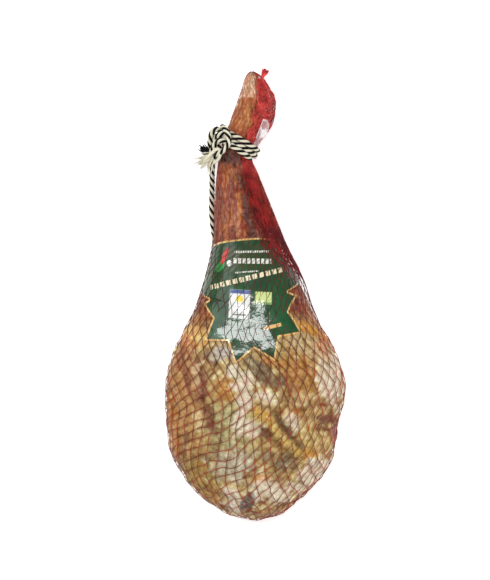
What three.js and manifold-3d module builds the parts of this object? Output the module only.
// A whole cured shoulder ham, laid on its back: the ham itself, a printed label round its shank, a net bag
// drawn over both, a rope tied round the net, and a small clear tag.
//
// Millimetres, +Z up. The origin is under the middle of the ham, on the surface that it lies on. The foot
// points along +Y and leans a little to +X.

import * as THREE from 'three';
import { mergeVertices } from 'three/addons/utils/BufferGeometryUtils.js';
import Module from 'manifold-3d';

const wasm = await Module();
wasm.setup();

// ---------------------------------------------------------------- driving dimensions

const hamLength = 631.5;      // foot tip to butt end
const hamWidth = 250.7;       // across the widest part of the body
const hamThickness = 96;      // from the surface it lies on to its highest point
const widestShare = 0.42;     // how high up a section its widest point is
const roundness = 2.2;        // superellipse power of the sections: 2 is an ellipse

const touching = 0.3;         // gap left between pieces that touch
const labelWall = 0.6;
const netWall = 0.8;

const labelTop = 239;         // foot tip to the label's upper edge, along the ham
const labelTilt = THREE.MathUtils.degToRad(8.4);
const bandHeight = 65;        // of the label's plain band, which goes all the way round
const starPoints = 9;
const starDrop = 95;          // from the label's upper edge down to the star's centre
const starSide = -4.8;        // the star's centre, to the left of the middle
const starReach = [69, 80];   // centre to the points, across and along the ham
const starValley = 0.72;      // radius of the notches, as a share of the points'
const starTurn = THREE.MathUtils.degToRad(15);

const ropeDiameter = 8;
const ropeStandOff = 0.6;     // the turns bridge the hollows of the net a little
const ropeTop = 106;          // foot tip to the middle of the turns, along the ham
const ropeSide = -18.8;       // the same middle, to the left of the ham's middle
const ropeTilt = THREE.MathUtils.degToRad(37);

const tuftRise = 2.7;         // how far the net's gathered end stands beyond the net over the foot
const tuftLength = 17;
const tuftNeck = 2.3;         // radius where the net is drawn together
const tuftFlare = 4.2;        // radius of its loose end
const tuftPlace = [1, 3];      // its neck, beyond the side of the bag and above the bag's widest line
const tuftLean = THREE.MathUtils.degToRad(12);

const filmWall = 0.5;
const filmLift = 2;           // its lower edge, above the net's widest line

const frayLength = 24;
const frayFlare = 8.5;        // radius of the frayed end's loose yarns
const frayRoot = [-13.3, -22, 26];  // from the left end of the turns
const frayLean = THREE.MathUtils.degToRad(146);

// The ham's sections from the foot tip to the butt end. Along is a share of the length; left, right and the
// slack of the net beyond the right side are shares of the width; bottom and top are shares of the
// thickness. Where bottom is below the lying plane, the section is flattened there.
const sections = [
  // along,  left,   right,  bottom, top,   slack
  [0.0000, -0.021, -0.021, 0.180, 0.180, 0.000],
  [0.0057, -0.039, 0.003, 0.110, 0.250, 0.008],
  [0.0168, -0.055, 0.020, 0.065, 0.300, 0.022],
  [0.0370, -0.070, 0.025, 0.030, 0.340, 0.050],
  [0.0590, -0.089, 0.028, 0.020, 0.360, 0.078],
  [0.0900, -0.117, 0.020, 0.040, 0.385, 0.087],
  [0.1210, -0.145, 0.003, 0.085, 0.430, 0.085],
  [0.1565, -0.178, -0.025, 0.125, 0.475, 0.050],
  [0.1919, -0.198, -0.041, 0.138, 0.520, 0.012],
  [0.2340, -0.212, -0.025, 0.130, 0.560, 0.036],
  [0.2895, -0.223, 0.014, 0.105, 0.610, 0.056],
  [0.3449, -0.229, 0.064, 0.070, 0.660, 0.062],
  [0.4003, -0.243, 0.131, 0.050, 0.750, 0.052],
  [0.4668, -0.282, 0.238, 0.020, 0.855, 0.028],
  [0.5333, -0.338, 0.316, -0.020, 0.930, 0.006],
  [0.6110, -0.433, 0.416, -0.060, 0.985, 0.000],
  [0.6879, -0.493, 0.500, -0.080, 1.000, 0.000],
  [0.7766, -0.494, 0.457, -0.080, 0.990, 0.000],
  [0.8542, -0.466, 0.428, -0.060, 0.945, 0.000],
  [0.9096, -0.382, 0.355, -0.030, 0.860, 0.000],
  [0.9546, -0.265, 0.232, 0.020, 0.730, 0.000],
  [0.9834, -0.153, 0.132, 0.090, 0.580, 0.000],
  [0.9970, -0.069, 0.037, 0.200, 0.430, 0.000],
  [1.0000, -0.014, -0.014, 0.315, 0.315, 0.000],
];

const filmRise = 39.6;        // the clear tag's upper edge, above the middle of the turns
// The clear tag's outline: in from the side of the net at the same height, and down from its upper edge.
const filmOutline = [
  [17, 0], [8, 1.5], [2, 10], [2, 22.5], [2, 32.4], [3, 38.5], [11, 34.5], [15, 25.4], [18, 12.8],
];

// The strands of the knot, from the left end of the turns: two bights, one over the other. Each one leaves
// its turn at the same share of the way round.
const knotLeaves = 0.375;
const knotRoutes = [
  [[-1, 9, 25], [-11, 10, 25], [-18, 2, 21.5], [-19, -11, 17.5], [-16, -22, 14.5], [-9, -25, 13.5]],
  [[-3, 1, 28], [-11, -1, 29], [-16, -10, 25.5], [-15.5, -21, 20.5], [-13, -30, 16.5], [-12, -38, 14.5]],
];

// The free tail of the rope, from the knot down the side of the shank and in under it.
const tailRoute = [
  [-59.7, 186.1, 38.4], [-60.3, 179, 36.4], [-60.7, 171, 32], [-60.9, 163, 26], [-61, 155, 19.8],
  [-61.2, 147, 14.2], [-61.5, 138, 9.4], [-61.9, 128, 6.2], [-62, 118, 4.8], [-61.5, 108, 4.4],
  [-60.5, 98, 4.3], [-59, 88, 4.3], [-57.2, 78, 4.3], [-55.4, 68, 4.3], [-53.8, 58, 4.3], [-52.5, 48, 4.3],
];

// ---------------------------------------------------------------- what follows from them

const labelInside = touching;
const labelOutside = labelInside + labelWall;
const netInside = labelOutside + 1.3 * touching;
const netOutside = netInside + netWall;
const overallLength = hamLength + 2 * netOutside + tuftRise;
const footTipY = overallLength / 2 - tuftRise - netOutside;

// How finely each kind of surface is drawn.
const rowsPerSection = 2;
const sides = 28;
const roundCorners = 12;
const tubeCorners = 10;
const turnPoints = 32;
const turnSteps = 40;
const knotSteps = 14;
const tailSteps = 10;

// ---------------------------------------------------------------- surfaces

// One column of the section table, as a smooth curve through its values.
function column(index, scale) {
  const points = sections.map((row) => new THREE.Vector3(row[index] * scale, 0, 0));
  const curve = new THREE.CatmullRomCurve3(points, false, 'catmullrom', 0.5);
  return (t) => curve.getPoint(t).x;
}

const along = column(0, hamLength);
const left = column(1, hamWidth);
const right = column(2, hamWidth);
const bottom = column(3, hamThickness);
const top = column(4, hamThickness);
const slack = column(5, hamWidth);

// A superellipse's cosine or sine.
function rounded(value) {
  return Math.sign(value) * Math.abs(value) ** (2 / roundness);
}

// A point on the ham, at t from the foot tip (0) to the butt end (1) and at an angle round the section,
// 0 on the right and a quarter turn on top. withSlack 1 gives the surface that the net is drawn over: it
// stands away from the ham in a fin on the right side.
function surface(t, angle, withSlack = 0) {
  const middle = (left(t) + right(t)) / 2;
  const half = (right(t) - left(t)) / 2;
  const widest = bottom(t) + widestShare * (top(t) - bottom(t));
  const up = Math.sin(angle) > 0 ? top(t) - widest : widest - bottom(t);
  const fin = withSlack * slack(t) * Math.max(Math.cos(angle), 0) ** 4;
  const height = widest + up * rounded(Math.sin(angle));
  return new THREE.Vector3(
    middle + half * rounded(Math.cos(angle)) + fin,
    footTipY - along(t),
    Math.max(height, netOutside),
  );
}

// The place t along the ham at a height y in the frame.
function placeAt(y) {
  let low = 0;
  let high = 1;
  for (let step = 0; step < 40; step += 1) {
    const middle = (low + high) / 2;
    if (footTipY - along(middle) > y) low = middle;
    else high = middle;
  }
  return (low + high) / 2;
}

// A closed surface from rings of points, with one point at each end.
function loft(rings, firstPoint, lastPoint) {
  const count = rings[0].length;
  const positions = [firstPoint, ...rings.flat(), lastPoint].flatMap((point) => point.toArray());
  const faces = [];
  const at = (ring, side) => 1 + ring * count + (side % count);
  const last = rings.length - 1;
  for (let side = 0; side < count; side += 1) {
    faces.push(0, at(0, side + 1), at(0, side));
    faces.push(1 + rings.length * count, at(last, side), at(last, side + 1));
    for (let ring = 0; ring < last; ring += 1) {
      faces.push(at(ring, side), at(ring, side + 1), at(ring + 1, side + 1));
      faces.push(at(ring, side), at(ring + 1, side + 1), at(ring + 1, side));
    }
  }
  const geometry = new THREE.BufferGeometry();
  geometry.setAttribute('position', new THREE.Float32BufferAttribute(positions, 3));
  geometry.setIndex(faces);
  geometry.computeVertexNormals();
  return geometry;
}

// The whole ham's surface, or with slack the surface that the net is drawn over.
function hamSurface(withSlack) {
  const rows = (sections.length - 1) * rowsPerSection;
  const rings = [];
  for (let row = 1; row < rows; row += 1) {
    const ring = [];
    for (let side = 0; side < sides; side += 1) {
      ring.push(surface(row / rows, (2 * Math.PI * side) / sides, withSlack));
    }
    rings.push(ring);
  }
  return loft(rings, surface(0, 0), surface(1, 0));
}

// The same surface moved outward by a distance.
function grown(geometry, distance) {
  const result = geometry.clone();
  const position = result.attributes.position;
  const normal = geometry.attributes.normal;
  for (let i = 0; i < position.count; i += 1) {
    position.setXYZ(
      i,
      position.getX(i) + distance * normal.getX(i),
      position.getY(i) + distance * normal.getY(i),
      position.getZ(i) + distance * normal.getZ(i),
    );
  }
  return result;
}

// ---------------------------------------------------------------- solids

// A closed geometry as a solid that can be joined and cut.
function solid(geometry) {
  const bare = geometry.clone();
  bare.deleteAttribute('normal');
  bare.deleteAttribute('uv');
  const merged = mergeVertices(bare, 1e-4);
  return new wasm.Manifold(new wasm.Mesh({
    numProp: 3,
    vertProperties: new Float32Array(merged.attributes.position.array),
    triVerts: new Uint32Array(merged.index.array),
  }));
}

// A solid back as a geometry.
function geometryOf(cutSolid) {
  const mesh = cutSolid.getMesh();
  const geometry = new THREE.BufferGeometry();
  geometry.setAttribute('position', new THREE.Float32BufferAttribute(mesh.vertProperties, 3));
  geometry.setIndex(new THREE.Uint32BufferAttribute(mesh.triVerts, 1));
  return geometry;
}

// The skin between two distances from a surface.
function skin(geometry, inside, outside) {
  return solid(grown(geometry, outside)).subtract(solid(grown(geometry, inside)));
}

// An outline in the lying plane, raised from one height to another.
function prism(outline, low, high) {
  const geometry = new THREE.ExtrudeGeometry(new THREE.Shape(outline), {
    depth: high - low,
    bevelEnabled: false,
  });
  return solid(geometry.translate(0, 0, low));
}

// A round tube along a curve, with flat ends.
function tube(curve, radius, steps) {
  const section = new THREE.Shape();
  for (let corner = 0; corner < tubeCorners; corner += 1) {
    const angle = (2 * Math.PI * corner) / tubeCorners;
    const point = [radius * Math.cos(angle), radius * Math.sin(angle)];
    if (corner === 0) section.moveTo(...point);
    else section.lineTo(...point);
  }
  return new THREE.ExtrudeGeometry(section, { steps, bevelEnabled: false, extrudePath: curve });
}

// ---------------------------------------------------------------- the label

// A straight line across the ham, tilted as the label is, at a distance below its upper edge.
function labelLine(x, below) {
  return footTipY - labelTop - below + Math.tan(labelTilt) * x;
}

function bandOutline() {
  const reach = hamWidth;
  return [
    new THREE.Vector2(-reach, labelLine(-reach, 0)),
    new THREE.Vector2(-reach, labelLine(-reach, bandHeight)),
    new THREE.Vector2(reach, labelLine(reach, bandHeight)),
    new THREE.Vector2(reach, labelLine(reach, 0)),
  ];
}

function starOutline() {
  const outline = [];
  for (let corner = 0; corner < 2 * starPoints; corner += 1) {
    const angle = starTurn + (Math.PI * corner) / starPoints;
    const share = corner % 2 === 0 ? 1 : starValley;
    outline.push(new THREE.Vector2(
      starSide + share * starReach[0] * Math.sin(-angle),
      labelLine(starSide, starDrop) - share * starReach[1] * Math.cos(angle),
    ));
  }
  return outline;
}

function labelWrap(bareHam) {
  const band = prism(bandOutline(), -hamThickness, 2 * hamThickness);
  const star = prism(starOutline(), widestShare * hamThickness, 2 * hamThickness);
  const belowTop = prism([
    new THREE.Vector2(-hamWidth, labelLine(-hamWidth, 0)),
    new THREE.Vector2(-hamWidth, labelLine(-hamWidth, hamLength)),
    new THREE.Vector2(hamWidth, labelLine(hamWidth, hamLength)),
    new THREE.Vector2(hamWidth, labelLine(hamWidth, 0)),
  ], -hamThickness, 2 * hamThickness);
  const outline = band.add(star).intersect(belowTop);
  return geometryOf(skin(bareHam, labelInside, labelOutside).intersect(outline));
}

// ---------------------------------------------------------------- the net

// The gathered end of the net: a narrow neck that flares into a loose tuft. It points along +Y, up to the
// end of the whole object.
function tuftFrame() {
  const rootY = overallLength / 2 - tuftLength;
  const side = surface(placeAt(rootY), 0, 1);
  const frame = new THREE.Object3D();
  frame.position.set(side.x + tuftPlace[0], rootY, side.z + tuftPlace[1]);
  frame.rotation.z = -tuftLean;
  frame.updateMatrix();
  return frame.matrix;
}

function netEndTuft() {
  const profile = [
    new THREE.Vector2(0, 0),
    new THREE.Vector2(tuftNeck, 0),
    new THREE.Vector2(tuftNeck, 0.3 * tuftLength),
    new THREE.Vector2(0.7 * tuftFlare, 0.5 * tuftLength),
    new THREE.Vector2(tuftFlare, 0.9 * tuftLength),
    new THREE.Vector2(0.8 * tuftFlare, tuftLength),
    new THREE.Vector2(0, tuftLength),
  ];
  return new THREE.LatheGeometry(profile, roundCorners).applyMatrix4(tuftFrame());
}

// The bag is open only where its own end is drawn out through it.
function netSleeve(drawnOver) {
  const radius = tuftNeck + touching;
  const mouth = new THREE.CylinderGeometry(radius, radius, 0.7 * tuftLength, roundCorners);
  mouth.translate(0, 0.15 * tuftLength, 0).applyMatrix4(tuftFrame());
  return geometryOf(skin(drawnOver, netInside, netOutside).subtract(solid(mouth)));
}

// ---------------------------------------------------------------- the rope

// A turn of the rope: a ring in a tilted plane round the shank, on the net. Its middle lies a distance
// further along the ham than the middle of all the turns.
function ropeTurnPath(further) {
  const stand = netOutside + ropeStandOff + ropeDiameter / 2;
  const points = [];
  for (let i = 0; i < turnPoints; i += 1) {
    const angle = (2 * Math.PI * i) / turnPoints;
    let point = surface(placeAt(footTipY - ropeTop - further), angle, 1);
    for (let step = 0; step < 12; step += 1) {
      const y = footTipY - ropeTop - further - Math.tan(ropeTilt) * (point.x - ropeSide);
      point = surface(placeAt(y), angle, 1);
    }
    const t = placeAt(point.y);
    const before = surface(t, angle - 0.05, 1);
    const after = surface(t, angle + 0.05, 1);
    const outward = new THREE.Vector3(after.z - before.z, 0, before.x - after.x).normalize();
    points.push(point.clone().addScaledVector(outward, stand));
  }
  return points;
}

// A closed ring tube through a ring of points.
function ringTube(points, radius) {
  const curve = new THREE.CatmullRomCurve3(points, true);
  const frames = curve.computeFrenetFrames(turnSteps, true);
  const positions = [];
  const faces = [];
  for (let step = 0; step < turnSteps; step += 1) {
    const centre = curve.getPointAt(step / turnSteps);
    for (let corner = 0; corner < tubeCorners; corner += 1) {
      const angle = (2 * Math.PI * corner) / tubeCorners;
      const point = centre.clone()
        .addScaledVector(frames.normals[step], radius * Math.cos(angle))
        .addScaledVector(frames.binormals[step], radius * Math.sin(angle));
      positions.push(...point.toArray());
      const next = (corner + 1) % tubeCorners;
      const ring = step * tubeCorners;
      const nextRing = ((step + 1) % turnSteps) * tubeCorners;
      faces.push(ring + corner, ring + next, nextRing + next);
      faces.push(ring + corner, nextRing + next, nextRing + corner);
    }
  }
  const geometry = new THREE.BufferGeometry();
  geometry.setAttribute('position', new THREE.Float32BufferAttribute(positions, 3));
  geometry.setIndex(faces);
  return geometry;
}

// The left end of the turns, where the rope is knotted.
function leftEnd(turns) {
  const ends = turns.map((path) => path.reduce((best, point) => (point.x < best.x ? point : best)));
  return ends.reduce((sum, end) => sum.add(end), new THREE.Vector3()).divideScalar(ends.length);
}

function placedFrom(origin, points) {
  return points.map((point) => origin.clone().add(new THREE.Vector3(...point)));
}

// A turn, pressed flat where the net would reach into it.
function ropeTurn(drawnOver, path) {
  const net = solid(grown(drawnOver, netOutside + touching));
  return geometryOf(solid(ringTube(path, ropeDiameter / 2)).subtract(net));
}

// The knot, with its strands made thicker by a margin, clear of the net and the turns.
function knotSolid(drawnOver, turns, margin) {
  const origin = leftEnd(turns);
  const strands = knotRoutes.map((route, i) => {
    const start = turns[i][Math.round(knotLeaves * turnPoints)];
    const curve = new THREE.CatmullRomCurve3([start, ...placedFrom(origin, route)]);
    return solid(tube(curve, ropeDiameter / 2 + margin, knotSteps));
  });
  const joined = strands.reduce((all, strand) => all.add(strand));
  const fatTurns = turns.map((path) => solid(ringTube(path, ropeDiameter / 2 + touching)));
  const net = solid(grown(drawnOver, netOutside + touching));
  return fatTurns.reduce((all, turn) => all.subtract(turn), joined.subtract(net));
}

function ropeKnot(drawnOver, turns) {
  return geometryOf(knotSolid(drawnOver, turns, 0));
}

// The short end, frayed open into a brush, clear of the knot that it comes out of.
function ropeFrayedEnd(drawnOver, turns) {
  const profile = [
    new THREE.Vector2(0, 0),
    new THREE.Vector2(ropeDiameter / 2, 0),
    new THREE.Vector2(ropeDiameter / 2, 0.25 * frayLength),
    new THREE.Vector2(frayFlare, 0.8 * frayLength),
    new THREE.Vector2(0.7 * frayFlare, frayLength),
    new THREE.Vector2(0, frayLength),
  ];
  const frame = new THREE.Object3D();
  frame.position.copy(placedFrom(leftEnd(turns), [frayRoot])[0]);
  frame.rotation.z = frayLean;
  frame.updateMatrix();
  const brush = solid(new THREE.LatheGeometry(profile, roundCorners).applyMatrix4(frame.matrix));
  return geometryOf(brush.subtract(knotSolid(drawnOver, turns, touching)));
}

// ---------------------------------------------------------------- the clear tag

function filmTag(drawnOver) {
  const inside = netOutside + touching;
  const side = surface(placeAt(footTipY - ropeTop + filmRise), 0, 1);
  const outline = filmOutline.map(([inward, down]) => {
    const place = surface(placeAt(side.y - down), 0, 1);
    return new THREE.Vector2(place.x - inward, place.y);
  });
  const cutter = prism(outline, side.z + filmLift, hamThickness);
  return geometryOf(skin(drawnOver, inside, inside + filmWall).intersect(cutter));
}

// ---------------------------------------------------------------- the assembly

const finishes = {
  meat: { color: 0x9e7f58, roughness: 0.55, metalness: 0 },
  label: { color: 0x1f4a2c, roughness: 0.3, metalness: 0 },
  net: { color: 0x9c2a25, roughness: 0.5, metalness: 0 },
  rope: { color: 0xcfc5a5, roughness: 0.9, metalness: 0 },
  film: { color: 0xe9dede, roughness: 0.15, metalness: 0 },
};

const group = new THREE.Group();

function add(name, geometry, finish) {
  const mesh = new THREE.Mesh(geometry, new THREE.MeshStandardMaterial(finishes[finish]));
  mesh.name = name;
  group.add(mesh);
}

const bareHam = hamSurface(0);
const drawnOver = hamSurface(1);

add('cured_ham', bareHam, 'meat');
add('label_wrap', labelWrap(bareHam), 'label');
add('net_sleeve', netSleeve(drawnOver), 'net');
add('net_end_tuft', netEndTuft(), 'net');
add('film_tag', filmTag(drawnOver), 'film');

const turnPitch = (ropeDiameter + touching) / Math.cos(ropeTilt);
const turns = [ropeTurnPath(-turnPitch / 2), ropeTurnPath(turnPitch / 2)];
const tail = new THREE.CatmullRomCurve3(tailRoute.map((point) => new THREE.Vector3(...point)));
add('rope_turn_upper', ropeTurn(drawnOver, turns[0]), 'rope');
add('rope_turn_lower', ropeTurn(drawnOver, turns[1]), 'rope');
add('rope_knot', ropeKnot(drawnOver, turns), 'rope');
add('rope_frayed_end', ropeFrayedEnd(drawnOver, turns), 'rope');
add('rope_tail', tube(tail, ropeDiameter / 2, tailSteps), 'rope');

export default group;
